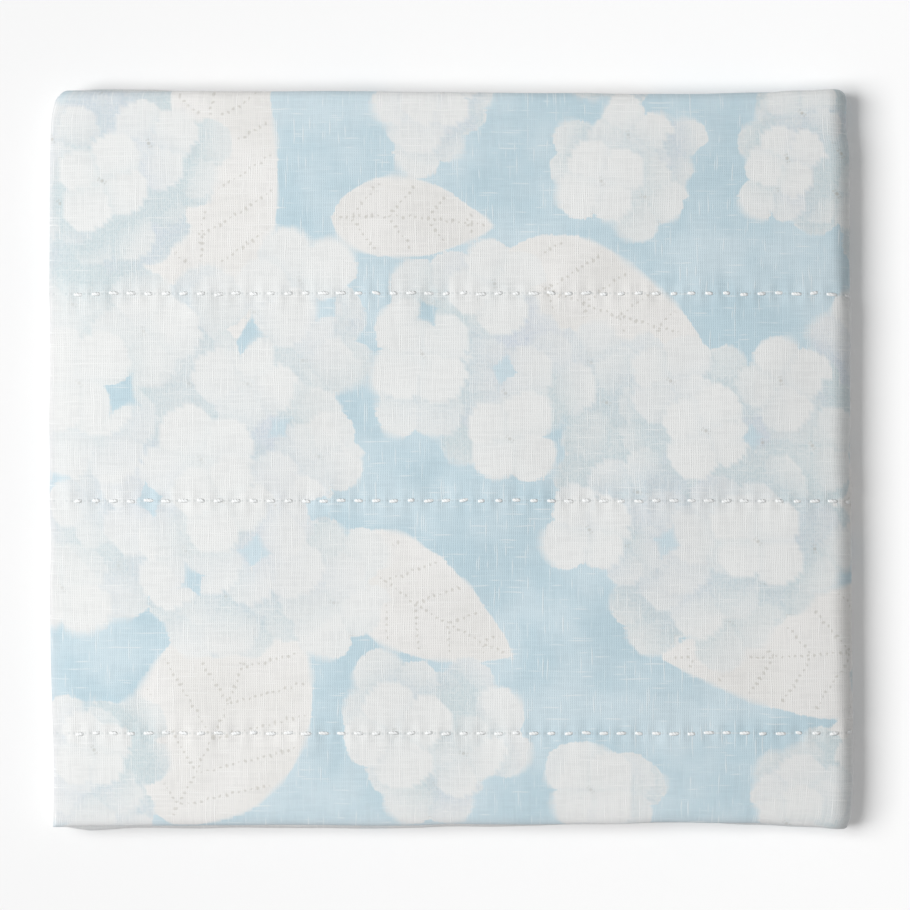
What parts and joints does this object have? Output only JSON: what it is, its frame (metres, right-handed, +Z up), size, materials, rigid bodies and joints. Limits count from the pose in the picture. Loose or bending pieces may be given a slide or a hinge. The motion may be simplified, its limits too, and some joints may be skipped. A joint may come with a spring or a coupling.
{
  "type": "folded cotton kitchen towel",
  "caption": "Soft quilted cotton kitchen towel with a pale flower and leaf print, folded in four and lying flat.",
  "frame": {"origin": "under the middle of the folded cloth, on the surface it lies on", "axes": "+Z up from the surface, +X towards the side fold, +Y towards the top fold"},
  "size_m": [0.1688, 0.1556, 0.01],
  "materials": {
    "cotton": "soft matt open weave, printed white and cream on pale blue"
  },
  "bodies": {
    "root": {"cloth": "cotton"}
  },
  "joints": []
}
